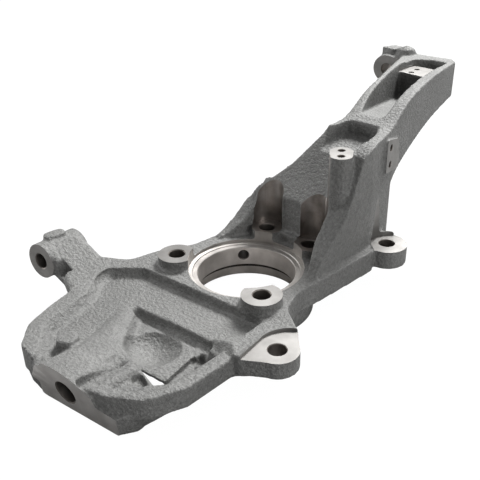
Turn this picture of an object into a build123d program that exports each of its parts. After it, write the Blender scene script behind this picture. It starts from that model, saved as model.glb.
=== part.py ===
from build123d import *
import os

# A cast-iron steering knuckle with machined seats, lying on its hub mounting face.
# The origin is on the wheel axis, in the mounting face that the hub bearing bolts against.
# Z points inboard, Y points up along the knuckle to its upper arm, X points to the caliper side.
# All lengths are in millimetres and all angles in degrees.

# Hub ring
hub_flange_radius = 60.0
plate_top = 36.5
bore_radius = 43.5
groove_radius = 46.5
groove_height = 4.0
pilot_radius = 48.5
pilot_depth = 10.0
counterbore_radius = 51.3
counterbore_floor = 33.5

# Hub bolts
bolt_hole_radius = 7.25
bolt_seat_height = 45.5
lower_bolt_x = 51.0
lower_bolt_y = -36.0
upper_bolt_x = 25.75
upper_bolt_y = 56.7
lower_boss_radius = 17.0
upper_boss_radius = 14.5
boss_foot_radius = 14.0
tool_relief_radius = 15.5

# Speed sensor hole through the bore wall
sensor_hole_radius = 4.75
sensor_hole_angle = 137.0
sensor_hole_height = 24.0
sensor_hole_length = 50.0

# Lower body
body_floor = 15.0
pan_floor = 28.0
rim_top = 32.5
step_floor = 21.0
slot_floor = 17.5
near_pocket_floor = 20.0
dish_center = (15.0, -125.0)
dish_curve_radius = 40.0
dish_depth = 5.0
window_edge_top = 19.0
window_edge_half_length = 14.0
pan_underside = 11.0
boss_floor = 0.5
boss_draft = 8.0

# Caliper ears
ear_hole_radius = 7.2
upper_ear_floor = 17.0
lower_ear_floor = 19.0
upper_ear_top = 35.0
lower_ear_top = 34.0
upper_ear_x = 67.0
upper_ear_y = 121.0
upper_ear_radius = 19.0
lower_ear_x = 97.5
lower_ear_y = -70.5
lower_ear_radius = 17.0
ear_cutter_height = 20.0
ear_relief_base = 15.5
ear_relief_height = 43.0

# Ball joint seat at the lower end, square to the steering axis
ball_joint_center = (4.5, -193.0, 17.5)
steering_axis = (-0.137, 0.978, 0.155)
ball_joint_bore_radius = 9.5
ball_joint_bore_length = 30.0

# Tie rod eye
tie_eye_center = (-138.0, -121.5, 41.0)
tie_eye_axis = (-0.13, 0.99, -0.04)
tie_eye_radius = 16.2
tie_eye_length = 42.0
tie_eye_bore_radius = 6.9

# Cast lugs, ribs and hollows
tie_lug_height = 19.0
tie_recess_depth = 20.0
upper_lug_height = 24.0
small_rib_radius = 5.5
small_rib_x = 26.0
small_rib_height = 26.5
cast_post_center = (-26.0, -168.0)
cast_post_radius = 7.5
cast_post_top = 36.5
cast_post_foot = 24.0
small_rib_start = 181.0
small_rib_length = 34.0
buttress_left = 55.0
buttress_width = 14.0

# Upper arm
arm_right_x = 60.0
arm_end_y = 351.0
arm_top = 175.0
arm_half_span = 200.0
near_hollow_floor = 106.0
near_hollow_mouth = 142.0
far_hollow_depth = 50.0
web_right_x = 41.0
rib_right_x = 46.0

# Upper ball joint eye
upper_eye_center = (-77.0, 330.0, 137.0)
upper_eye_radius = 17.5
upper_eye_length = 26.0
upper_eye_bore_radius = 7.0

# Sensor and bracket seats, each with two screw holes
screw_hole_radius = 3.1
screw_hole_depth = 16.0
post_center = (40.6, 78.0)
post_top = 130.0
post_length = 31.0
post_width = 20.0
post_turn = 125.0
post_depth = 48.0
post_hole_gap = 14.0
side_pad_height = 2.5
side_pad_root = 2.0
side_hole_depth = 10.0
side_pad_holes = ((10.0, -10.0), (10.0, -26.0))
block_top = 150.0
block_holes = ((-21.0, 290.0), (-22.5, 305.0))


def unit(vector):
    """The same direction with a length of one."""
    return Vector(*vector).normalized()


def axis_plane(center, direction):
    """A plane at a point, its Z along a direction and its X kept level."""
    normal = unit(direction)
    level = Vector(0, 0, 1).cross(normal).normalized()
    return Plane(origin=center, x_dir=level, z_dir=normal)


def polar_point(radius, angle, height):
    """A point at a radius, an angle in degrees and a height from the wheel axis."""
    return Vector(radius, 0, height).rotate(Axis.Z, angle)


def rounded_outline(corners):
    """A filled outline through corners, each given as x, y and corner radius."""
    with BuildSketch() as outline:
        with BuildLine():
            Polyline(*[(x, y) for x, y, radius in corners], close=True)
        make_face()
        for x, y, radius in corners:
            if radius > 0:
                corner = outline.vertices().sort_by_distance((x, y, 0))[0]
                fillet(corner, radius)
    return outline.sketch


side_pad_plane = Plane(origin=(54, 126, 132), x_dir=(-0.225, 0.974, 0), z_dir=(0.974, 0.225, 0))
window_edge_plane = Plane(origin=(36, -138, 0), x_dir=(-0.334, 0.943, 0), z_dir=(0.943, 0.334, 0))
sensor_plane = Plane(
    origin=polar_point(bore_radius - 8, sensor_hole_angle, sensor_hole_height),
    x_dir=(0, 0, 1),
    z_dir=polar_point(1, sensor_hole_angle, 0),
)

# Lower body, hub flange and bolt bosses
with BuildPart() as body:
    with BuildSketch(Plane.XY.offset(body_floor)):
        add(rounded_outline([
            (-62, 40, 0),
            (-66, -2, 20),
            (-82, -34, 15),
            (-87, -58, 12),
            (-97, -70, 5),
            (-96, -120, 5),
            (-83, -128, 10),
            (-76, -152, 25),
            (-66, -178, 22),
            (-46, -196, 8),
            (-12, -200, 0),
            (44, -186, 6),
            (68, -170, 22),
            (79, -142, 15),
            (79, -98, 8),
            (88, -90, 0),
            (88, -40, 6),
            (70, -26, 20),
            (62, -4, 15),
            (65, 40, 40),
            (68, 98, 0),
            (54, 112, 0),
            (50, 134, 10),
            (-25, 134, 10),
            (-40, 74, 0),
        ]))
    extrude(amount=plate_top - body_floor)
    with BuildSketch():
        Circle(hub_flange_radius)
    extrude(amount=plate_top)
    # feet of the bolt bosses, flush with the mounting face
    with BuildSketch():
        with Locations((-lower_bolt_x, lower_bolt_y), (lower_bolt_x, lower_bolt_y),
                       (-upper_bolt_x, upper_bolt_y), (upper_bolt_x, upper_bolt_y)):
            Circle(boss_foot_radius)
    extrude(amount=plate_top)
    with BuildSketch(Plane.XY.offset(body_floor)):
        with Locations((-lower_bolt_x, lower_bolt_y), (lower_bolt_x, lower_bolt_y)):
            Circle(lower_boss_radius)
    extrude(amount=bolt_seat_height - body_floor)

# Upper arm as its plan outline crossed with its side profile
with BuildPart() as arm:
    with BuildSketch(Plane.XY.offset(body_floor)):
        with BuildLine():
            Polyline((-64, 8), (arm_right_x, 8), (arm_right_x, 100), (4.3, 341), (-5, arm_end_y), (-66, arm_end_y))
            Spline((-66, arm_end_y), (-37, 273), (-20, 220), (-10, 179), (-4, 140), (-6, 114))
            Polyline((-6, 114), (-22, 86), (-33, 74), (-47, 70), (-56, 60), (-61, 20), (-64, 8))
        make_face()
    extrude(amount=arm_top - body_floor)
    with BuildSketch(Plane.YZ):
        with BuildLine():
            Polyline((143, body_floor), (6, body_floor), (8, 30), (16, 30), (31, 52), (62, 79), (72, 96),
                     (86, 127))
            Spline((86, 127), (96, 132.5), (140, 137.5), (174, 149), (221, 156.5), (273, 158),
                   (arm_end_y, 155.5))
            Line((arm_end_y, 155.5), (arm_end_y, 117))
            Spline((arm_end_y, 117), (262, 112), (192, 99), (149, 80), (138, 61))
            Polyline((138, 61), (137.5, 49), (143, 30), (143, body_floor))
        make_face()
    extrude(amount=arm_half_span, both=True, mode=Mode.INTERSECT)
    # front face, sloping back above the tool reliefs
    with BuildSketch(Plane.YZ.offset(web_right_x)):
        with BuildLine():
            Polyline((57, 74), (120, 136), (120, 170), (57, 170), close=True)
        make_face()
    extrude(amount=-2 * web_right_x, mode=Mode.SUBTRACT)
    with BuildSketch(Plane.YZ.offset(rib_right_x)):
        with BuildLine():
            Polyline((72, 88.8), (120, 136), (120, 170), (72, 170), close=True)
        make_face()
    extrude(amount=-arm_half_span, mode=Mode.SUBTRACT)
    # left flange, stepping down towards the hub
    with BuildSketch(Plane.YZ.offset(-web_right_x)):
        with BuildLine():
            Polyline((0, 33), (17, 37), (30, 42), (45, 52), (62, 68), (74, 88), (74, 170), (0, 170), close=True)
        make_face()
    extrude(amount=-arm_half_span, mode=Mode.SUBTRACT)
    # open space over the hub, up to the web between the tool reliefs
    with BuildSketch(Plane.XY.offset(plate_top)):
        with BuildLine():
            Polyline((-41, 57), (-43, 45), (-52, 25), (-64, 6), (56, 6), (50, 25), (43, 42), (41, 57), close=True)
        make_face()
    extrude(amount=arm_top - plate_top, mode=Mode.SUBTRACT)

# Hollow in the upper arm beyond the cross rib, its floor falling to the far end
with BuildPart() as far_pocket:
    with BuildSketch(Plane.XY.offset(160)):
        add(rounded_outline([
            (8, 149, 4),
            (33, 150, 4),
            (31, 169, 10),
            (14.5, 245, 0),
            (3, 310, 0),
            (0, 330, 6),
            (-20, 333, 10),
            (-36, 322, 10),
            (-35, 290, 0),
            (-24.5, 254, 0),
            (-5, 190, 0),
        ]))
    extrude(amount=-far_hollow_depth, taper=2)
    split(bisect_by=Plane(origin=(0, 151, 141), x_dir=(1, 0, 0), z_dir=(0, 0.15, 1)), keep=Keep.TOP)
    # sensor block left standing in the hollow
    with BuildSketch(Plane.XY.offset(100)):
        add(rounded_outline([
            (-60, 289, 0),
            (20, 277, 0),
            (20, 312, 0),
            (-24, 319, 8),
            (-60, 317, 0),
        ]))
    extrude(amount=50, mode=Mode.SUBTRACT)

# Hollow in the outboard side of the arm and its root, with even walls all round
with BuildPart() as back_hollow:
    with BuildSketch():
        add(rounded_outline([
            (50, 84, 8),
            (50, 99, 0),
            (17, 242, 8),
            (-17, 242, 8),
            (-11, 220, 0),
            (-1, 179, 0),
            (5, 140, 0),
            (2, 114, 0),
            (-12, 90, 0),
            (-15, 84, 3),
        ]))
    extrude(amount=140)
    with BuildSketch(Plane.YZ):
        with BuildLine():
            Polyline((84, 0), (84, 80), (98, 96), (144, 96), (150, 129), (242, 117), (250, 100), (250, 0), close=True)
        make_face()
    extrude(amount=arm_half_span, both=True, mode=Mode.INTERSECT)

# Pan in the lower body, down to the rim and then down to its floor
with BuildPart() as pan:
    with BuildSketch(Plane.XY.offset(plate_top)):
        add(rounded_outline([
            (68, -50, 6), (-66, -62, 10), (-91, -84, 8), (-88, -99, 8), (-72, -119, 12), (-57, -170, 16),
            (-30, -192, 0), (-22, -215, 0), (40, -215, 0), (100, -170, 0), (100, -103, 0), (78, -96, 0), (69, -92, 0),
        ]))
    with BuildSketch(Plane.XY.offset(rim_top)):
        add(rounded_outline([
            (67, -51, 6), (-65, -63, 10), (-88, -84.5, 8), (-85, -98, 8), (-69, -118, 12), (-54, -168, 16),
            (-28, -189, 0), (-22, -215, 0), (40, -215, 0), (100, -171, 0), (100, -104, 0), (78, -97, 0), (68, -93, 0),
        ]))
    loft(ruled=True)
    with BuildSketch(Plane.XY.offset(rim_top)):
        add(rounded_outline([
            (67, -51, 6), (-65, -63, 10), (-88, -84.5, 8), (-85, -98, 8), (-69, -118, 12), (-54, -168, 16),
            (-28, -189, 0), (34, -182, 6), (50, -167, 10), (68, -146, 14), (68, -60, 0),
        ]))
    with BuildSketch(Plane.XY.offset(pan_floor)):
        add(rounded_outline([
            (66, -52, 6), (-64, -64.5, 10), (-84, -85, 8), (-81, -97, 8), (-65, -117, 12), (-50, -166, 14),
            (-26, -184, 0), (34, -178, 6), (48, -164, 10), (65, -144, 14), (66, -60, 0),
        ]))
    loft(ruled=True)

# Dish in the lower floor, part of a ball
with BuildPart() as dish:
    with Locations((*dish_center, step_floor - dish_depth + dish_curve_radius)):
        Sphere(dish_curve_radius)
    split(bisect_by=Plane.XY.offset(step_floor), keep=Keep.BOTTOM)

# Ball joint hump, running down from the milled face into the pan
with BuildPart() as hump:
    with BuildSketch(Plane(origin=(0, -202, 0), x_dir=(-1, 0, 0), z_dir=(0, 1, 0))):
        add(rounded_outline([
            (-42, 2, 0), (-38, 30, 5), (-18, 37.5, 15), (-2, 40, 12), (14, 38.5, 8), (20, 30, 6), (25, 2, 0),
        ]))
    with BuildSketch(Plane(origin=(0, -146, 0), x_dir=(-1, 0, 0), z_dir=(0, 1, 0))):
        add(rounded_outline([
            (-20, 2, 0), (-15, 22, 4), (-7, 30.5, 6), (6, 33, 12), (16, 33, 8), (26, 29, 8), (32, 2, 0),
        ]))
    with BuildSketch(Plane(origin=(0, -104, 0), x_dir=(-1, 0, 0), z_dir=(0, 1, 0))):
        add(rounded_outline([
            (18, 12, 0), (23, 21, 3), (29, 27.7, 3), (33, 28.4, 3), (38, 28.4, 3), (43, 28, 3), (48, 12, 0),
        ]))
    loft(ruled=True)

# Tie rod arm, from the side of the body to its eye
with BuildPart() as tie_arm:
    with BuildSketch(Plane.YZ.offset(-80)):
        add(rounded_outline([(-129, 16, 4), (-129, 36.5, 3), (-56, 36.5, 3), (-56, 16, 4)]))
    with BuildSketch(Plane.YZ.offset(-108)):
        add(rounded_outline([(-119, 24, 4), (-119, 40, 3), (-77, 40, 4), (-77, 24, 4)]))
    with BuildSketch(Plane.YZ.offset(-132)):
        add(rounded_outline([(-118, 30, 4), (-118, 55, 4), (-80, 55, 6), (-80, 30, 4)]))
    loft(ruled=True)
    # three-cornered recess in its lower side
    with BuildSketch(Plane.XZ.offset(130)):
        add(rounded_outline([(-118, 33, 2), (-118, 50, 2), (-99, 33, 2)]))
    extrude(amount=-tie_recess_depth, mode=Mode.SUBTRACT)
    with BuildSketch(axis_plane(tie_eye_center, tie_eye_axis)):
        Circle(tie_eye_radius)
    extrude(amount=tie_eye_length)
    # lug on top of the eye
    with BuildSketch(Plane.XY.offset(tie_eye_center[2])):
        add(rounded_outline([(-151, -110, 5), (-139, -112, 5), (-137, -92, 5), (-149, -90, 5)]))
    extrude(amount=tie_lug_height)

with BuildPart() as knuckle:
    add(body.part)
    add(arm.part)
    add(tie_arm.part)
    # bosses under the upper bolts
    with BuildSketch(Plane.XY.offset(body_floor)):
        with Locations((-upper_bolt_x, upper_bolt_y), (upper_bolt_x, upper_bolt_y)):
            Circle(upper_boss_radius)
    extrude(amount=bolt_seat_height - body_floor)
    # thicker skin under the pan
    with BuildSketch(Plane.XY.offset(pan_underside)):
        add(rounded_outline([(-50, -100, 10), (56, -94, 8), (64, -136, 12), (40, -160, 8), (-45, -160, 10)]))
    extrude(amount=body_floor - pan_underside + 1)
    add(pan.part, mode=Mode.SUBTRACT)
    # deeper floor beyond the step in the pan, with a buttress left at its right end
    with BuildSketch(Plane.XY.offset(pan_floor)):
        add(rounded_outline([
            (-42, -100, 6),
            (16, -92.5, 0),
            (54, -90, 2),
            (55, -99, 0),
            (67, -101, 0),
            (67, -136, 12),
            (56, -153, 3),
            (4, -140, 0),
            (-24, -114, 12),
        ]))
    extrude(amount=step_floor - pan_floor, taper=12, mode=Mode.SUBTRACT)
    with BuildSketch(Plane.YZ.offset(buttress_left)):
        Polygon((-86, 16), (-86, 29), (-94.5, 29), (-104, 19), (-104, 16), align=None)
    extrude(amount=buttress_width)
    # slot between the dished floor and the rim
    with BuildSketch(Plane.XY.offset(step_floor)):
        add(rounded_outline([
            (46, -96, 3),
            (56, -102, 0),
            (65, -103, 0),
            (65, -136, 12),
            (55, -151, 3),
            (50, -148, 2),
            (50, -123, 6),
        ]))
    extrude(amount=slot_floor - step_floor, taper=3, mode=Mode.SUBTRACT)
    add(dish.part, mode=Mode.SUBTRACT)
    # window through the floor
    with BuildSketch(Plane.XY.offset(step_floor)):
        add(rounded_outline([
            (23, -142.5, 1),
            (38, -138, 3),
            (47, -134, 2),
            (51, -139, 3),
            (51, -150, 1),
            (25, -144.5, 1),
        ]))
    extrude(amount=step_floor, both=True, mode=Mode.SUBTRACT)
    # the floor thins towards the window
    with BuildSketch(window_edge_plane):
        Polygon((-3, window_edge_top), (0, window_edge_top), (16, pan_underside - 1), (16, 0), (-3, 0), align=None)
    extrude(amount=window_edge_half_length, both=True, mode=Mode.SUBTRACT)
    # pocket on the near side of the web that bounds the window
    with BuildSketch(Plane.XY.offset(pan_floor)):
        add(rounded_outline([
            (30, -148, 2),
            (53, -155, 2),
            (48, -162, 6),
            (37, -160, 6),
        ]))
    extrude(amount=near_pocket_floor - pan_floor, taper=5, mode=Mode.SUBTRACT)
    # ball joint boss and hump
    with BuildSketch(Plane.XY.offset(body_floor + 3)):
        add(rounded_outline([
            (-14, -205, 0),
            (-20, -197, 0),
            (-46, -195, 3),
            (-58, -180, 10),
            (-66, -150, 15),
            (-50, -124, 15),
            (2, -124, 10),
            (20, -144, 6),
            (34, -158, 0),
            (68, -162, 10),
            (49, -194, 0),
        ]))
    extrude(amount=boss_floor - body_floor - 3, taper=boss_draft)
    add(hump.part)
    # small rib and cast post beside the hump
    with BuildSketch(Plane.XZ.offset(small_rib_start)):
        with Locations((small_rib_x, small_rib_height)):
            Circle(small_rib_radius)
    extrude(amount=-small_rib_length)
    with BuildSketch(Plane.XY.offset(cast_post_foot)):
        with Locations(cast_post_center):
            Circle(cast_post_radius)
    extrude(amount=cast_post_top - cast_post_foot, taper=4)
    # caliper ears with their machined seats
    with BuildSketch(Plane.XY.offset(upper_ear_floor)):
        with Locations((upper_ear_x, upper_ear_y)):
            Circle(upper_ear_radius)
    extrude(amount=upper_ear_top - upper_ear_floor)
    with BuildSketch(Plane.XY.offset(lower_ear_floor)):
        with Locations((lower_ear_x, lower_ear_y)):
            Circle(lower_ear_radius)
    extrude(amount=lower_ear_top - lower_ear_floor)
    with BuildSketch(Plane.XY.offset(lower_ear_floor)):
        add(rounded_outline([
            (78, -98.5, 0), (84, -98.5, 3), (104, -85.5, 0), (112, -62, 0), (95, -43.5, 4), (78, -32, 0),
        ]))
    extrude(amount=plate_top - lower_ear_floor)
    with BuildSketch(Plane.XY.offset(lower_ear_top)):
        add(rounded_outline([
            (80.6, -40, 26), (85.3, -96, 5), (89, -104, 0), (130, -104, 0), (130, -40, 0),
        ]))
    extrude(amount=ear_cutter_height, mode=Mode.SUBTRACT)
    with BuildSketch(Plane.XY.offset(upper_ear_top)):
        with Locations((upper_ear_x, upper_ear_y)):
            Circle(ear_relief_base)
    extrude(amount=ear_relief_height, taper=5, mode=Mode.SUBTRACT)
    # upper ball joint eye and its lugs
    with BuildSketch(axis_plane(upper_eye_center, steering_axis)):
        Circle(upper_eye_radius)
    extrude(amount=upper_eye_length)
    with BuildSketch(Plane.XY.offset(upper_eye_center[2])):
        add(rounded_outline([(-92, 338, 3), (-74, 334, 3), (-56, 352, 8), (-84, 356, 3)]))
    extrude(amount=upper_lug_height)

    # arm hollows
    with BuildSketch(Plane.XY.offset(near_hollow_mouth)):
        add(rounded_outline([
            (-3, 108, 3),
            (42, 108, 3),
            (44, 122, 6),
            (38, 139, 5),
            (3, 139, 4),
        ]))
    extrude(amount=near_hollow_floor - near_hollow_mouth, taper=4, mode=Mode.SUBTRACT)
    add(far_pocket.part, mode=Mode.SUBTRACT)
    add(back_hollow.part, mode=Mode.SUBTRACT)

    # hub bore
    with BuildSketch():
        Circle(bore_radius)
    extrude(amount=plate_top, mode=Mode.SUBTRACT)
    with BuildSketch():
        Circle(pilot_radius)
    extrude(amount=pilot_depth, mode=Mode.SUBTRACT)
    with BuildSketch(Plane.XY.offset(pilot_depth)):
        Circle(groove_radius)
    extrude(amount=groove_height, mode=Mode.SUBTRACT)
    with BuildSketch(Plane.XY.offset(counterbore_floor)):
        Circle(counterbore_radius)
    extrude(amount=arm_top - counterbore_floor, mode=Mode.SUBTRACT)
    # tool reliefs and bolt holes
    with BuildSketch(Plane.XY.offset(bolt_seat_height)):
        with Locations((-upper_bolt_x, upper_bolt_y), (upper_bolt_x, upper_bolt_y)):
            Circle(tool_relief_radius)
    extrude(amount=arm_top - bolt_seat_height, mode=Mode.SUBTRACT)
    with BuildSketch():
        with Locations((-lower_bolt_x, lower_bolt_y), (lower_bolt_x, lower_bolt_y),
                       (-upper_bolt_x, upper_bolt_y), (upper_bolt_x, upper_bolt_y)):
            Circle(bolt_hole_radius)
    extrude(amount=bolt_seat_height, mode=Mode.SUBTRACT)
    # bracket post
    with BuildSketch(Plane.XY.offset(post_top)):
        with Locations(Location(post_center, post_turn)):
            SlotOverall(post_length, post_width)
    extrude(amount=-post_depth)
    with BuildSketch(Plane.XY.offset(post_top)):
        with Locations(Location(post_center, post_turn)):
            with GridLocations(post_hole_gap, 0, 2, 1):
                Circle(screw_hole_radius)
    extrude(amount=-screw_hole_depth, mode=Mode.SUBTRACT)
    # pad on the right side of the arm
    with BuildSketch(side_pad_plane.offset(-side_pad_root)):
        add(rounded_outline([(0, -32, 3), (0, 0, 3), (30, -7, 3), (37, -37, 3)]))
    extrude(amount=side_pad_root + side_pad_height)
    with BuildSketch(side_pad_plane.offset(side_pad_height)):
        with Locations(*side_pad_holes):
            Circle(screw_hole_radius)
    extrude(amount=-side_hole_depth, mode=Mode.SUBTRACT)
    # screw holes in the sensor block
    with BuildSketch(Plane.XY.offset(block_top)):
        with Locations(*block_holes):
            Circle(screw_hole_radius)
    extrude(amount=-screw_hole_depth, mode=Mode.SUBTRACT)
    # ear holes
    with BuildSketch():
        with Locations((upper_ear_x, upper_ear_y), (lower_ear_x, lower_ear_y)):
            Circle(ear_hole_radius)
    extrude(amount=plate_top, mode=Mode.SUBTRACT)
    # tie rod bore
    with BuildSketch(axis_plane(tie_eye_center, tie_eye_axis)):
        Circle(tie_eye_bore_radius)
    extrude(amount=tie_eye_length, mode=Mode.SUBTRACT)
    # upper ball joint bore
    with BuildSketch(axis_plane(upper_eye_center, steering_axis)):
        Circle(upper_eye_bore_radius)
    extrude(amount=upper_eye_length, mode=Mode.SUBTRACT)
    # speed sensor hole
    with BuildSketch(sensor_plane):
        Circle(sensor_hole_radius)
    extrude(amount=sensor_hole_length, mode=Mode.SUBTRACT)
    # milled ball joint face and its tapered bore
    split(bisect_by=axis_plane(ball_joint_center, steering_axis), keep=Keep.TOP)
    with BuildSketch(axis_plane(ball_joint_center, steering_axis)):
        Circle(ball_joint_bore_radius)
    extrude(amount=ball_joint_bore_length, mode=Mode.SUBTRACT)

knuckle.part.label = "knuckle"
os.makedirs("parts", exist_ok=True)
export_step(knuckle.part, "parts/knuckle.step")
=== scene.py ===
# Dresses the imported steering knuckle: soft casting radii, crisp machined seats, iron and cut-metal finishes.
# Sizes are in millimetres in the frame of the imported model, unless a heading says otherwise.
# Meshes are drawn in millimetres and then scaled to metres.
import math

import bmesh
import bpy
from mathutils import Matrix, Vector
from mathutils.bvhtree import BVHTree


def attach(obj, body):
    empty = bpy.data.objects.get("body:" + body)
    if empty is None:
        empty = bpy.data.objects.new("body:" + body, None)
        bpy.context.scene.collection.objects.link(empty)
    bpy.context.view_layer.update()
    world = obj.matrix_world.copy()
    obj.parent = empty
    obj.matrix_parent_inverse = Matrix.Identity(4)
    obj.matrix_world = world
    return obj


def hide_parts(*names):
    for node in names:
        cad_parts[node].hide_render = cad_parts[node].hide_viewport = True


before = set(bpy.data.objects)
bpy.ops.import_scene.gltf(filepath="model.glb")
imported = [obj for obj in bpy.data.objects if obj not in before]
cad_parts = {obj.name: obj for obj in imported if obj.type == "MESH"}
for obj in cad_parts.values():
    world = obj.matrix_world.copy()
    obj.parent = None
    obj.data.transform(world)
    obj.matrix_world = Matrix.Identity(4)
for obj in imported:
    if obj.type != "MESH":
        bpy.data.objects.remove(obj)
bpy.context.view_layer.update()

MM = 0.001
up = Vector((0, 0, 1))
down = Vector((0, 0, -1))

# Camera, fitted to the photograph; its clip distances are in metres
camera_at = (354.634, -369.283, 331.86)
camera_forward = (-0.61932, 0.63243, -0.46526)
camera_right = (0.72199, 0.69158, -0.02099)
camera_lens = 50.02
camera_sensor = 36.0
camera_clip = (0.01, 50.0)

# Casting skin
voxel_size = 1.1
skin_passes = 6
skin_softness = 0.5
skin_triangles = 165000
stock = 4.0
weld_distance = 0.002
flat_cosine = 0.999
flat_distance = 0.1
hole_overfill = 0.3
sharp_angle = 38.0

# Hub
plate_top = 36.5
bore_radius = 43.5
groove_radius = 46.5
groove_low = 10.0
groove_high = 14.0
groove_overcut = 1.0
pilot_radius = 48.5
pilot_overfill = 3.5
pilot_chamfer = 1.0
pilot_flare = 57.0
pilot_flare_depth = 8.0
counterbore_radius = 51.3
ledge_outer = 33.9
ledge_inner = 32.2
ledge_edge = 0.6
ledge_step_radius = 47.6
ledge_step_low = 0.3
ledge_step_high = 1.1
ledge_step_width = 0.5
arm_top = 175.0

# Hub bolts
bolt_hole_radius = 7.25
bolt_seat = 45.5
lower_bolts = ((-51.0, -36.0), (51.0, -36.0))
upper_bolts = ((-25.75, 56.7), (25.75, 56.7))
boss_root = 8.0
lower_boss_radius = 17.0
lower_seat_margin = 4.0
upper_boss_radius = 14.5
relief_radius = 15.5
relief_fill_inset = 0.4
relief_fill_root = 40.0
web_face_y = 57.0
web_face_top = 74.0
web_slope = 0.984

# Speed sensor hole
sensor_hole_radius = 4.75
sensor_hole_angle = 137.0
sensor_hole_height = 24.0
sensor_fill_length = 30.0
sensor_hole_depth = 40.0

# Ears
ear_hole_radius = 7.2
upper_ear = (67.0, 121.0)
upper_ear_top = 35.0
upper_ear_floor = 17.0
upper_ear_facing_radius = 22.0
upper_ear_facing_shift = 8.0
upper_ear_side = ((60, 100), (48.4, 150), (44, 150), (50, 100))
upper_ear_side_heights = (18.0, 80.0)
lower_ear = (97.5, -70.5)
lower_ear_top = 34.0
lower_ear_floor = 19.0
lower_ear_arc = ((106.6, -66.0), 26.0, 90.0, 183.0)
lower_ear_corners = [(85.3, -96.0), (89.0, -104.0), (130.0, -104.0), (130.0, -40.0)]
ear_relief_base = 15.5
ear_relief_height = 43.0
ear_relief_top = 11.7

# Ball joint seats and tie rod eye
steering_axis = Vector((-0.137, 0.978, 0.155)).normalized()
milled_center = Vector((4.5, -193.0, 17.5))
ball_bore_radius = 9.5
ball_bore_length = 30.0
tie_center = Vector((-138.0, -121.5, 41.0))
tie_axis = Vector((-0.13, 0.99, -0.04)).normalized()
tie_length = 42.0
tie_bore_radius = 6.9
tie_radius = 16.2
upper_eye_center = Vector((-77.0, 330.0, 137.0))
upper_eye_length = 26.0
upper_eye_bore_radius = 7.0
upper_eye_radius = 17.5
eye_near_margin = 4.0
eye_far_margin = 1.0

# Bracket seats
screw_radius = 3.1
screw_depth = 16.0
screw_fill_depth = 20.0
post_center = Vector((40.6, 78.0, 130.0))
post_length = 31.0
post_width = 20.0
post_turn = 125.0
post_gap = 14.0
post_margin = 3.0
post_fill_radius = 9.1
side_pad_origin = Vector((54.0, 126.0, 132.0))
side_pad_along = Vector((-0.225, 0.974, 0.0)).normalized()
side_pad_out = Vector((0.974, 0.225, 0.0)).normalized()
side_pad_height = 2.5
side_pad_holes = ((10.0, -10.0), (10.0, -26.0))
side_pad_cut = (17.0, -19.0)
side_pad_cut_radius = 28.0
side_hole_depth = 10.0
side_hole_fill_depth = 12.0
block_top = 150.0
block_facing = 0.4
block_holes = ((-21.0, 290.0), (-22.5, 305.0))
block_seat = ((-34.5, 283), (7, 275.5), (6, 285), (0.5, 317), (-24, 321.5), (-34.5, 318))

# Cutting: how far the tools reach past what they cut, and the chamfers they leave at hole mouths
sweep_radius = 90.0
seat_reach = 12.0
upper_ear_reach = 8.0
lower_ear_reach = 20.0
milled_reach = 14.0
pad_reach = 9.0
block_reach = 6.0
hole_reach = 3.0
bolt_chamfer = 0.8
ear_chamfer = 0.6
post_chamfer = 0.5
screw_chamfer = 0.4

# Drawing: how finely round forms are drawn, and the point of a drill as a share of its radius
arc_steps = 24
round_steps = 96
hole_steps = 64
hub_steps = 160
capsule_steps = 32
cap_angle = 75
cap_steps = 5
drill_tip = 0.5

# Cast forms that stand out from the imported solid
pan_post_at = (-26.0, -168.0, 0.0)
pan_post_profile = ((0, 22), (10.5, 22), (9.3, 31), (8.2, 38.2), (0, 38.2))
rib_ends = ((32.5, -179.0, 26.7), (32.0, -154.0, 26.3))
rib_radius = 6.3
wedge_corners = (
    (49, -89.5, 31), (55, -96, 25), (63.6, -101.5, 22), (76, -99.5, 32), (72.5, -91, 39),
    (50, -84, 20), (76, -84, 20), (60, -101, 16), (76, -98, 16), (72, -84, 36))
bowl_back_at = (14.0, -116.0, 0.0)
bowl_back_radius = 12.0
bowl_back_heights = (8.0, 15.0)
window_edge = ((24, -143.4), (39, -141.8), (50, -140.5), (55, -139), (53, -130), (46, -131), (36, -135))
window_edge_heights = (18.2, 21.2)
window_pocket = ((28, -146), (54, -154), (50, -164), (36, -162))
window_pocket_heights = (17.0, 23.5)
slot_back = ((44, -94), (62, -98), (67, -105), (62, -116), (48, -116))
slot_back_heights = (8.5, 14.0)
arm_pocket = ((-7, 104), (46, 104), (46, 143), (-7, 143))
arm_pocket_root = 100.0
rim_flare_corners = (
    (46, -181, 1), (58, -169, 1), (50, -160, 1), (44, -186, 17), (48, -184, 17), (60, -176.5, 17),
    (70, -167, 17), (75, -156, 17), (60, -150, 17), (46, -160, 17))
lug_hump_at = (-59.0, 341.0, 0.0)
lug_hump_profile = ((0, 130), (13, 130), (13, 154), (9, 162), (0, 166))

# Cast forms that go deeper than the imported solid
valley_ends = ((21.5, -188.0, 31.5), (21.0, -155.0, 30.5))
valley_radius = 4.8
rib_side = ((38.5, -177), (45, -177), (52, -171), (57, -164), (50, -156), (38.5, -156))
rib_side_heights = (28.3, 40.0)
slot_end = ((46, -99), (56, -103.5), (64, -104.5), (60, -112), (52, -113))
slot_end_heights = (14.0, 24.0)
slot = ((45, -106), (47.5, -120), (50.5, -134), (52, -142), (57, -146), (60, -140), (61.5, -128),
        (63.5, -117), (62, -108), (54, -105))
slot_heights = (16.5, 40.0)
pan_step_corners = (
    (-38, -97.5, 33), (41, -91, 33), (-38, -99, 31), (-24, -99, 20), (36, -95, 19.5), (41, -92.5, 26),
    (38, -98, 19.5), (-20, -104, 20), (-36, -103, 31), (-20, -108, 33), (40, -104, 33))
bowl_center = (15.0, -119.0, 26.0)
bowl_reach = (23.5, 22.0, 14.5)
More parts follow.
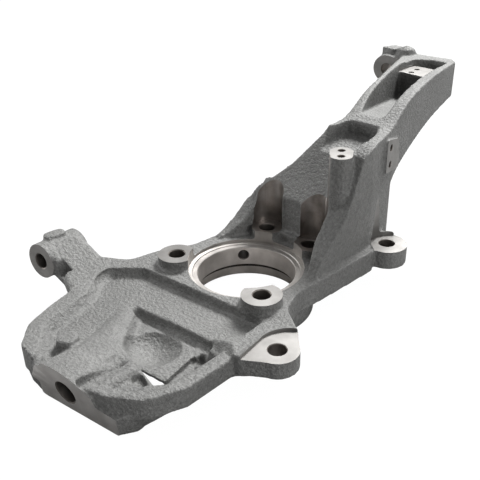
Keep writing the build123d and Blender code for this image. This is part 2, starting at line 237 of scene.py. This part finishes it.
web_front = ((-12.5, 48), (12.5, 48), (11, 62.5), (-11, 62.5))
web_front_top = 90.0
arm_pocket_start = 101.0
arm_pocket_low = 117.0
arm_pocket_slope = 0.18
arm_pocket_floor = ((1, 101), (38, 102), (45, 107), (43, 122), (36.5, 138), (13, 139), (1, 116))
arm_pocket_mouth = ((-4, 96), (40, 97), (50, 104), (47, 122), (38, 141.5), (2, 142), (-10, 110))
arm_pocket_mouth_height = 152.0

# Iron finish: noise as lumps per metre, detail and roughness, and colours with their places on the ramp
patch_noise = (28, 3)
lump_noise = (360, 2)
lump_height = 1.25
lump_share = 0.6
grain_noise = (750, 5, 0.65)
grain_height = 0.6
grain_share = 0.5
skin_bump = 1.0
iron_colours = (
    (0.34, (0.1, 0.1, 0.097)),
    (0.5, (0.158, 0.158, 0.153)),
    (0.66, (0.235, 0.235, 0.228)),
)
iron_roughness = (0.5, 0.72)
iron_metallic = 0.35

# Cut metal: noise as above, and for each finish its bright colour, dark colour and roughness
stain_noise = (60, 4)
stain_span = (0.35, 0.65)
cut_grain_noise = (1500, 2)
cut_grain_height = 0.05
cut_grain_bump = 0.4
cut_metallic = 0.85
cut_finishes = {
    "faced": ((0.27, 0.263, 0.253), (0.2, 0.194, 0.186), 0.5),
    "bored": ((0.72, 0.68, 0.645), (0.54, 0.505, 0.475), 0.42),
    "ledge": ((0.4, 0.38, 0.36), (0.29, 0.275, 0.26), 0.5),
    "milled": ((0.64, 0.62, 0.6), (0.5, 0.48, 0.462), 0.42),
    # The groove finish is near black: painted shade standing in for the shadow deep in the hub's groove.
    "painted_shade_groove": ((0.07, 0.06, 0.055), (0.04, 0.035, 0.03), 0.6),
    "relief": ((0.36, 0.33, 0.31), (0.2, 0.18, 0.165), 0.36),
    "drilled": ((0.2, 0.18, 0.165), (0.12, 0.11, 0.1), 0.5),
}
face_match_distance = 0.03
face_match_cosine = 0.98

# Floor
floor_size = 6000.0
floor_grey = 0.32
floor_roughness = 0.9
floor_glow = 1.12
floor_glow_share = 0.88

# World and lamps, in metres and watts
sky_direction = (0.1, 0.62, 0.78)
sky_span = (-0.3, 0.9)
sky_strength = (0.04, 0.8)
sky_seen = 1.0
lamp_target = (0, 0.06, 0.06)
lamps = (
    ("top_lamp", (-0.4, 2.2, 2.5), 1.1, 195),
    ("right_lamp", (1.6, -0.3, 0.5), 0.8, 9),
    ("left_lamp", (-1.6, -0.5, 0.5), 0.8, 14),
)


# Drawing

def turned(origin, axis):
    """The matrix that takes Z to an axis at an origin, in millimetres."""
    turn = axis.to_track_quat("Z", "Y").to_matrix().to_4x4()
    return Matrix.Translation(Vector(origin)) @ turn


def solid(name, bm):
    """A new object, in metres, from a mesh drawn in millimetres."""
    bmesh.ops.recalc_face_normals(bm, faces=bm.faces)
    bmesh.ops.triangulate(bm, faces=bm.faces)
    bm.transform(Matrix.Scale(MM, 4))
    mesh = bpy.data.meshes.new(name)
    bm.to_mesh(mesh)
    bm.free()
    piece = bpy.data.objects.new(name, mesh)
    bpy.context.scene.collection.objects.link(piece)
    return piece


def arc(center, radius, start, end, steps=arc_steps):
    """Points on an arc between two angles in degrees."""
    angles = [math.radians(start + (end - start) * i / steps) for i in range(steps + 1)]
    return [(center[0] + radius * math.cos(a), center[1] + radius * math.sin(a)) for a in angles]


def stadium(center, length, width, turn):
    """The outline of a slot shape, turned by an angle in degrees."""
    along = Vector((math.cos(math.radians(turn)), math.sin(math.radians(turn))))
    reach = along * (length - width) / 2
    middle = Vector(center)
    first = arc(middle + reach, width / 2, turn - 90, turn + 90)
    second = arc(middle - reach, width / 2, turn + 90, turn + 270)
    return first + second


def lathe(name, profile, origin=(0, 0, 0), axis=up, steps=round_steps):
    """A closed turned solid from radius and height pairs that start and end on the axis."""
    bm = bmesh.new()
    rings = []
    for radius, height in profile:
        if radius == 0:
            rings.append([bm.verts.new((0, 0, height))])
        else:
            rings.append([
                bm.verts.new((
                    radius * math.cos(math.tau * i / steps),
                    radius * math.sin(math.tau * i / steps),
                    height,
                ))
                for i in range(steps)
            ])
    for first, second in zip(rings, rings[1:]):
        for i in range(steps):
            j = (i + 1) % steps
            if len(first) == 1:
                bm.faces.new((first[0], second[i], second[j]))
            elif len(second) == 1:
                bm.faces.new((first[i], second[0], first[j]))
            else:
                bm.faces.new((first[i], second[i], second[j], first[j]))
    bm.transform(turned(origin, axis))
    return solid(name, bm)


def rod(name, radius, low, high, origin=(0, 0, 0), axis=up):
    """A plain cylinder between two heights along an axis."""
    profile = ((0, low), (radius, low), (radius, high), (0, high))
    return lathe(name, profile, origin, axis)


def capsule(name, first, second, radius):
    """A rod with round ends between two points."""
    first = Vector(first)
    second = Vector(second)
    length = (second - first).length
    profile = [(0, -radius)]
    profile += arc((0, 0), radius, -cap_angle, 0, cap_steps)
    profile += arc((0, length), radius, 0, cap_angle, cap_steps)
    profile.append((0, length + radius))
    return lathe(name, profile, first, (second - first).normalized(), capsule_steps)


def egg(name, center, reach):
    """An egg shape with the given half sizes."""
    bm = bmesh.new()
    bmesh.ops.create_icosphere(bm, subdivisions=4, radius=1)
    bm.transform(Matrix.Translation(Vector(center)) @ Matrix.Diagonal((*reach, 1)))
    return solid(name, bm)


def prism(name, outline, low, high):
    """An upright solid on an outline; high may be a function of x and y."""
    bm = bmesh.new()
    bottom = [bm.verts.new((x, y, low)) for x, y in outline]
    top = [bm.verts.new((x, y, high(x, y) if callable(high) else high)) for x, y in outline]
    bm.faces.new(bottom)
    bm.faces.new(top)
    count = len(outline)
    for i in range(count):
        j = (i + 1) % count
        bm.faces.new((bottom[i], bottom[j], top[j], top[i]))
    return solid(name, bm)


def hull(name, points):
    """The smallest solid without hollows around some points."""
    bm = bmesh.new()
    for point in points:
        bm.verts.new(point)
    made = bmesh.ops.convex_hull(bm, input=bm.verts)
    bmesh.ops.delete(bm, geom=made["geom_interior"], context="VERTS")
    return solid(name, bm)


# Shaping

def bake(piece):
    """Replaces a piece's mesh by its shape with the modifiers on."""
    graph = bpy.context.evaluated_depsgraph_get()
    mesh = bpy.data.meshes.new_from_object(piece.evaluated_get(graph))
    piece.modifiers.clear()
    piece.data = mesh


def grow(bm, point, normal, height):
    """Stands stock on every face in a plane, so that a later cut leaves it flat and crisp."""
    chosen = [
        face
        for face in bm.faces
        if face.normal.dot(normal) > flat_cosine
        and abs((face.calc_center_median() - point).dot(normal)) < flat_distance
    ]
    made = bmesh.ops.extrude_face_region(bm, geom=chosen)
    lifted = [item for item in made["geom"] if isinstance(item, bmesh.types.BMVert)]
    bmesh.ops.translate(bm, verts=lifted, vec=normal * height)
    bmesh.ops.delete(bm, geom=chosen, context="FACES_KEEP_BOUNDARY")


def remesh(piece):
    """Turns a piece into one closed voxel mesh at the next bake."""
    skin = piece.modifiers.new("skin", "REMESH")
    skin.mode = "VOXEL"
    skin.voxel_size = voxel_size * MM


def subtract(piece, tools):
    """Cuts some solids out of a piece, in their order."""
    for tool in tools:
        step = piece.modifiers.new("cut", "BOOLEAN")
        step.operation = "DIFFERENCE"
        step.solver = "MANIFOLD"
        step.object = tool
    bake(piece)


def relief_fill_top(x, y):
    """Height of the sloping web that a bolt relief is cut into."""
    return web_face_top + web_slope * (y - web_face_y)


def arm_pocket_height(x, y):
    """Height of the floor in the arm's near pocket, rising away from the hub."""
    return arm_pocket_low + arm_pocket_slope * (y - arm_pocket_start)


# The raw casting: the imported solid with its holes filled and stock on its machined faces
cast = bmesh.new()
cast.from_mesh(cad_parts["knuckle"].data)
bmesh.ops.remove_doubles(cast, verts=cast.verts, dist=weld_distance * MM)
cast.transform(Matrix.Scale(1 / MM, 4))
cast.normal_update()
flat_faces = ((0, down), (bolt_seat, up), (upper_ear_top, up), (lower_ear_top, up), (post_center.z, up))
for height, side in flat_faces:
    grow(cast, Vector((0, 0, height)), side, stock)
for center, axis, length in (
        (tie_center, tie_axis, tie_length),
        (upper_eye_center, steering_axis, upper_eye_length)):
    grow(cast, center, -axis, stock)
    grow(cast, center + axis * length, axis, stock)
grow(cast, milled_center, -steering_axis, stock)
side_pad_face = side_pad_origin + side_pad_out * side_pad_height
side_pad_spots = [side_pad_face + side_pad_along * offset + up * height for offset, height in side_pad_holes]
grow(cast, side_pad_face, side_pad_out, stock)
body = solid("casting", cast)

# Fills: the holes and reliefs that are cut again later, then the forms that stand out from the solid
fills = [rod("fill", pilot_radius + pilot_overfill, -stock, plate_top)]
for x, y in lower_bolts:
    fills.append(rod("fill", lower_boss_radius, boss_root, bolt_seat + stock, (x, y, 0)))
for x, y in upper_bolts:
    fills.append(rod("fill", upper_boss_radius, boss_root, bolt_seat + stock, (x, y, 0)))
    outline = arc((x, web_face_y), relief_radius - relief_fill_inset, 0, 180)
    fills.append(prism("fill", outline, relief_fill_root, relief_fill_top))
for x, y in lower_bolts + upper_bolts:
    fills.append(rod("fill", bolt_hole_radius + hole_overfill, -stock, bolt_seat + stock, (x, y, 0)))
fills.append(prism("fill", upper_ear_side, *upper_ear_side_heights))
for (x, y), floor_height, top_height in (
        (upper_ear, upper_ear_floor, upper_ear_top),
        (lower_ear, lower_ear_floor, lower_ear_top)):
    fills.append(rod("fill", ear_hole_radius + hole_overfill, floor_height, top_height + stock, (x, y, 0)))
for radius, low, high, center, axis in (
        (tie_bore_radius, -stock, tie_length + stock, tie_center, tie_axis),
        (upper_eye_bore_radius, -stock, upper_eye_length + stock, upper_eye_center, steering_axis),
        (ball_bore_radius, -stock, ball_bore_length, milled_center, steering_axis)):
    fills.append(rod("fill", radius + hole_overfill, low, high, center, axis))
fills.append(rod("fill", post_fill_radius, -screw_fill_depth, stock, post_center))
for spot in side_pad_spots:
    fills.append(rod("fill", screw_radius + hole_overfill, -side_hole_fill_depth, stock, spot, side_pad_out))
for x, y in block_holes:
    fills.append(rod("fill", screw_radius + hole_overfill, -screw_fill_depth, stock, (x, y, block_top)))
fills.append(lathe("fill", pan_post_profile, pan_post_at))
fills.append(capsule("fill", *rib_ends, rib_radius))
fills.append(hull("fill", wedge_corners))
fills.append(rod("fill", bowl_back_radius, *bowl_back_heights, bowl_back_at))
fills.append(prism("fill", window_edge, *window_edge_heights))
fills.append(prism("fill", window_pocket, *window_pocket_heights))
fills.append(prism("fill", slot_back, *slot_back_heights))
fills.append(prism("fill", arm_pocket, arm_pocket_root, arm_pocket_height))
fills.append(hull("fill", rim_flare_corners))
fills.append(lathe("fill", lug_hump_profile, lug_hump_at))
angle = math.radians(sensor_hole_angle)
sensor_axis = Vector((math.cos(angle), math.sin(angle), 0))
sensor_origin = sensor_axis * bore_radius + up * sensor_hole_height
sensor_fill_radius = sensor_hole_radius + hole_overfill
fills.append(rod("fill", sensor_fill_radius, 0, sensor_fill_length, sensor_origin, sensor_axis))
whole = bmesh.new()
whole.from_mesh(body.data)
for fill in fills:
    whole.from_mesh(fill.data)
    bpy.data.objects.remove(fill)
whole.to_mesh(body.data)
whole.free()

# Casting skin: one closed mesh, carved where the cast walls are hollow, with every edge and corner softened
arm_pocket_corners = [(x, y, arm_pocket_height(x, y)) for x, y in arm_pocket_floor]
arm_pocket_corners += [(x, y, arm_pocket_mouth_height) for x, y in arm_pocket_mouth]
hollows = [
    capsule("hollow", *valley_ends, valley_radius),
    prism("hollow", rib_side, *rib_side_heights),
    prism("hollow", slot_end, *slot_end_heights),
    hull("hollow", pan_step_corners),
    prism("hollow", slot, *slot_heights),
    egg("hollow", bowl_center, bowl_reach),
    prism("hollow", web_front, bolt_seat, web_front_top),
    hull("hollow", arm_pocket_corners),
]
remesh(body)
subtract(body, hollows)
for hollow in hollows:
    bpy.data.objects.remove(hollow)
remesh(body)
smooth = body.modifiers.new("smooth", "SMOOTH")
smooth.factor = skin_softness
smooth.iterations = skin_passes
bake(body)
triangles_before = sum(len(face.vertices) - 2 for face in body.data.polygons)
thin = body.modifiers.new("thin", "DECIMATE")
thin.ratio = skin_triangles / triangles_before
bake(body)

# Machining cutters, each with its kind of finish
cutters = []


def cut(kind, cutter):
    """Keeps a cutter with the finish it leaves."""
    cutters.append((kind, cutter))


def bore(origin, axis, radius, depth, chamfer, through):
    """A drilled hole whose mouth is at the origin, its axis pointing out of it."""
    profile = [(0, hole_reach), (radius + chamfer, hole_reach), (radius + chamfer, 0), (radius, -chamfer)]
    if through:
        profile.append((radius, chamfer - depth))
        profile.append((radius + chamfer, -depth))
        profile.append((radius + chamfer, -depth - hole_reach))
        profile.append((0, -depth - hole_reach))
    else:
        profile.append((radius, -depth))
        profile.append((0, -depth - drill_tip * radius))
    cut("drilled", lathe("cutter", profile, origin, axis, hole_steps))


cut("faced", rod("cutter", sweep_radius, -seat_reach, 0))
bore_profile = (
    (0, -pilot_flare_depth), (pilot_flare, -pilot_flare_depth), (pilot_radius + pilot_chamfer, 0),
    (pilot_radius, pilot_chamfer), (pilot_radius, groove_low), (bore_radius, groove_low),
    (bore_radius, arm_top), (0, arm_top))
ledge_profile = (
    (0, ledge_inner - ledge_edge), (bore_radius, ledge_inner - ledge_edge),
    (bore_radius + ledge_edge, ledge_inner), (ledge_step_radius, ledge_inner + ledge_step_low),
    (ledge_step_radius + ledge_step_width, ledge_inner + ledge_step_high), (counterbore_radius, ledge_outer),
    (counterbore_radius, arm_top), (0, arm_top))
groove_profile = (
    (0, groove_low - groove_overcut), (groove_radius, groove_low - groove_overcut),
    (groove_radius, groove_high), (0, groove_high))
# The groove cutter gives its faces the near-black finish, which is painted shade in the hub's groove.
for kind, profile in (("bored", bore_profile), ("ledge", ledge_profile), ("painted_shade_groove", groove_profile)):
    cut(kind, lathe("cutter", profile, steps=hub_steps))
for x, y in lower_bolts:
    cut("faced", rod("cutter", lower_boss_radius + lower_seat_margin, bolt_seat, bolt_seat + seat_reach,
                     (x, y, 0)))
for x, y in upper_bolts:
    cut("relief", rod("cutter", relief_radius, bolt_seat, arm_top, (x, y, 0)))
for x, y in lower_bolts + upper_bolts:
    bore((x, y, bolt_seat), up, bolt_hole_radius, bolt_seat, bolt_chamfer, True)
cut("faced", rod("cutter", upper_ear_facing_radius, upper_ear_top, upper_ear_top + upper_ear_reach,
                 (upper_ear[0] + upper_ear_facing_shift, upper_ear[1], 0)))
relief_profile = ((0, 0), (ear_relief_base, 0), (ear_relief_top, ear_relief_height), (0, ear_relief_height))
cut("faced", lathe("cutter", relief_profile, (*upper_ear, upper_ear_top)))
lower_ear_seat = arc(*lower_ear_arc) + lower_ear_corners
cut("faced", prism("cutter", lower_ear_seat, lower_ear_top, lower_ear_top + lower_ear_reach))
bore((*upper_ear, upper_ear_top), up, ear_hole_radius, upper_ear_top - upper_ear_floor, ear_chamfer, True)
bore((*lower_ear, lower_ear_top), up, ear_hole_radius, lower_ear_top - lower_ear_floor, ear_chamfer, True)
for center, axis, length, radius, hole in (
        (tie_center, tie_axis, tie_length, tie_radius, tie_bore_radius),
        (upper_eye_center, steering_axis, upper_eye_length, upper_eye_radius, upper_eye_bore_radius)):
    cut("faced", rod("cutter", radius + eye_near_margin, -seat_reach, 0, center, axis))
    cut("faced", rod("cutter", radius + eye_far_margin, length, length + seat_reach, center, axis))
    bore(center, -axis, hole, length, bolt_chamfer, True)
cut("milled", rod("cutter", sweep_radius, 0, milled_reach, milled_center, -steering_axis))
bore(milled_center, -steering_axis, ball_bore_radius, ball_bore_length, bolt_chamfer, False)
post_seat = stadium(post_center.xy, post_length + post_margin, post_width + post_margin, post_turn)
cut("faced", prism("cutter", post_seat, post_center.z, post_center.z + pad_reach))
post_along = Vector((math.cos(math.radians(post_turn)), math.sin(math.radians(post_turn)), 0))
for side in (-0.5, 0.5):
    bore(post_center + post_along * post_gap * side, up, screw_radius, screw_depth, post_chamfer, False)
side_pad_middle = side_pad_face + side_pad_along * side_pad_cut[0] + up * side_pad_cut[1]
cut("faced", rod("cutter", side_pad_cut_radius, 0, pad_reach, side_pad_middle, side_pad_out))
for spot in side_pad_spots:
    bore(spot, side_pad_out, screw_radius, side_hole_depth, screw_chamfer, False)
cut("faced", prism("cutter", block_seat, block_top - block_facing, block_top + block_reach))
for x, y in block_holes:
    bore((x, y, block_top), up, screw_radius, screw_depth, screw_chamfer, False)
bore(sensor_origin, -sensor_axis, sensor_hole_radius, sensor_hole_depth, ear_chamfer, False)

subtract(body, [cutter for kind, cutter in cutters])


# Materials

def material(name):
    """A new node material, its nodes and links, and its ready shader."""
    made = bpy.data.materials.new(name)
    made.use_nodes = True
    nodes = made.node_tree.nodes
    return made, nodes, made.node_tree.links, nodes["Principled BSDF"]


def noise(nodes, links, coordinates, scale, detail, roughness=0.5):
    """A noise texture in object space; scale is in lumps per metre."""
    texture = nodes.new("ShaderNodeTexNoise")
    texture.inputs["Scale"].default_value = scale
    texture.inputs["Detail"].default_value = detail
    texture.inputs["Roughness"].default_value = roughness
    links.new(coordinates, texture.inputs["Vector"])
    return texture.outputs["Fac"]


def mixed(nodes, links, first, second, share):
    """Two values mixed, with the given share of the second."""
    made = nodes.new("ShaderNodeMix")
    made.data_type = "FLOAT"
    made.inputs["Factor"].default_value = share
    links.new(first, made.inputs["A"])
    links.new(second, made.inputs["B"])
    return made.outputs["Result"]


def ramp(nodes, links, value, stops):
    """A colour ramp through the given positions and colours."""
    made = nodes.new("ShaderNodeValToRGB")
    elements = made.color_ramp.elements
    while len(elements) < len(stops):
        elements.new(0.5)
    for element, (position, colour) in zip(elements, stops):
        element.position = position
        element.color = (*colour, 1)
    links.new(value, made.inputs["Fac"])
    return made.outputs["Color"]


def bump(nodes, links, height, distance, strength, below=None):
    """A bump node, laid over another when one is given."""
    made = nodes.new("ShaderNodeBump")
    made.inputs["Distance"].default_value = distance * MM
    made.inputs["Strength"].default_value = strength
    links.new(height, made.inputs["Height"])
    if below is not None:
        links.new(below, made.inputs["Normal"])
    return made.outputs["Normal"]


def cast_iron():
    """Shot-blasted grey iron with a fine pebbled skin."""
    made, nodes, links, shader = material("cast_iron")
    space = nodes.new("ShaderNodeTexCoord").outputs["Object"]
    patches = noise(nodes, links, space, *patch_noise)
    grain = noise(nodes, links, space, *grain_noise)
    lumps = noise(nodes, links, space, *lump_noise)
    blotches = mixed(nodes, links, patches, lumps, lump_share)
    tone = mixed(nodes, links, blotches, grain, grain_share)
    links.new(ramp(nodes, links, tone, iron_colours), shader.inputs["Base Color"])
    rough = nodes.new("ShaderNodeMapRange")
    rough.inputs["To Min"].default_value = iron_roughness[0]
    rough.inputs["To Max"].default_value = iron_roughness[1]
    links.new(grain, rough.inputs["Value"])
    links.new(rough.outputs["Result"], shader.inputs["Roughness"])
    shader.inputs["Metallic"].default_value = iron_metallic
    first = bump(nodes, links, lumps, lump_height, skin_bump)
    links.new(bump(nodes, links, grain, grain_height, skin_bump, first), shader.inputs["Normal"])
    return made


def machined(name, bright, dark, rough):
    """Cut metal with faint stains and a fine grain."""
    made, nodes, links, shader = material(name)
    space = nodes.new("ShaderNodeTexCoord").outputs["Object"]
    stain = noise(nodes, links, space, *stain_noise)
    colour = ramp(nodes, links, stain, ((stain_span[0], dark), (stain_span[1], bright)))
    links.new(colour, shader.inputs["Base Color"])
    shader.inputs["Metallic"].default_value = cut_metallic
    shader.inputs["Roughness"].default_value = rough
    grain = noise(nodes, links, space, *cut_grain_noise)
    rise = bump(nodes, links, grain, cut_grain_height, cut_grain_bump)
    links.new(rise, shader.inputs["Normal"])
    return made


kinds = ["cast", *cut_finishes]
body.data.materials.clear()
body.data.materials.append(cast_iron())
for kind, (bright, dark, rough) in cut_finishes.items():
    body.data.materials.append(machined(f"{kind}_metal", bright, dark, rough))

# Each face that lies on a cutter takes that cutter's finish
for kind, cutter in cutters:
    surface = bmesh.new()
    surface.from_mesh(cutter.data)
    tree = BVHTree.FromBMesh(surface)
    surface.free()
    corners = [Vector(corner) for corner in cutter.bound_box]
    low = Vector([min(corner[i] for corner in corners) - MM for i in range(3)])
    high = Vector([max(corner[i] for corner in corners) + MM for i in range(3)])
    for face in body.data.polygons:
        point = face.center
        if all(low[i] < point[i] < high[i] for i in range(3)):
            spot, normal = tree.find_nearest(point, face_match_distance * MM)[:2]
            if spot is not None and abs(normal.dot(face.normal)) > face_match_cosine:
                face.material_index = kinds.index(kind)
    bpy.data.objects.remove(cutter)

body.data.shade_smooth()
body.data.set_sharp_from_angle(angle=math.radians(sharp_angle))
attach(body, "root")
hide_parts("knuckle")

# Floor, lit a little from within so that it shows white to the camera
bm = bmesh.new()
bmesh.ops.create_grid(bm, x_segments=1, y_segments=1, size=floor_size)
floor = solid("floor", bm)
made, nodes, links, shader = material("pale_floor")
shader.inputs["Base Color"].default_value = (floor_grey, floor_grey, floor_grey, 1)
shader.inputs["Roughness"].default_value = floor_roughness
glow = nodes.new("ShaderNodeEmission")
glow.inputs["Color"].default_value = (1, 1, 1, 1)
glow.inputs["Strength"].default_value = floor_glow
paths = nodes.new("ShaderNodeLightPath")
share = nodes.new("ShaderNodeMath")
share.operation = "MULTIPLY"
share.inputs[1].default_value = floor_glow_share
links.new(paths.outputs["Is Camera Ray"], share.inputs[0])
blend = nodes.new("ShaderNodeMixShader")
links.new(share.outputs[0], blend.inputs["Fac"])
links.new(shader.outputs["BSDF"], blend.inputs[1])
links.new(glow.outputs["Emission"], blend.inputs[2])
links.new(blend.outputs["Shader"], nodes["Material Output"].inputs["Surface"])
floor.data.materials.append(made)

# World: a white studio, brightest above and behind the part, plain white where the camera sees it
scene = bpy.context.scene
scene.world = bpy.data.worlds.new("studio")
scene.world.use_nodes = True
nodes = scene.world.node_tree.nodes
links = scene.world.node_tree.links
sky = nodes["Background"]
sky.inputs["Color"].default_value = (1, 1, 1, 1)
direction = nodes.new("ShaderNodeTexCoord").outputs["Generated"]
facing = nodes.new("ShaderNodeVectorMath")
facing.operation = "DOT_PRODUCT"
facing.inputs[1].default_value = sky_direction
links.new(direction, facing.inputs[0])
level = nodes.new("ShaderNodeMapRange")
level.inputs["From Min"].default_value = sky_span[0]
level.inputs["From Max"].default_value = sky_span[1]
level.inputs["To Min"].default_value = sky_strength[0]
level.inputs["To Max"].default_value = sky_strength[1]
links.new(facing.outputs["Value"], level.inputs["Value"])
paths = nodes.new("ShaderNodeLightPath")
choice = nodes.new("ShaderNodeMix")
choice.data_type = "FLOAT"
choice.inputs["B"].default_value = sky_seen
links.new(paths.outputs["Is Camera Ray"], choice.inputs["Factor"])
links.new(level.outputs["Result"], choice.inputs["A"])
links.new(choice.outputs["Result"], sky.inputs["Strength"])

# Lamps, square and soft, aimed at the middle of the part
for name, at, size, power in lamps:
    data = bpy.data.lights.new(name, "AREA")
    data.shape = "SQUARE"
    data.size = size
    data.energy = power
    lamp = bpy.data.objects.new(name, data)
    scene.collection.objects.link(lamp)
    lamp.location = at
    aim = Vector(lamp_target) - Vector(at)
    lamp.rotation_euler = aim.to_track_quat("-Z", "Y").to_euler()

# Camera
camera = bpy.data.objects.new("camera", bpy.data.cameras.new("camera"))
scene.collection.objects.link(camera)
camera.data.lens = camera_lens
camera.data.sensor_width = camera_sensor
camera.data.clip_start = camera_clip[0]
camera.data.clip_end = camera_clip[1]
back = -Vector(camera_forward).normalized()
right = Vector(camera_right)
right = (right - back * right.dot(back)).normalized()
top = back.cross(right)
turn = Matrix((right, top, back)).transposed().to_4x4()
camera.matrix_world = Matrix.Translation(Vector(camera_at) * MM) @ turn
scene.camera = camera
scene.view_settings.view_transform = "Standard"
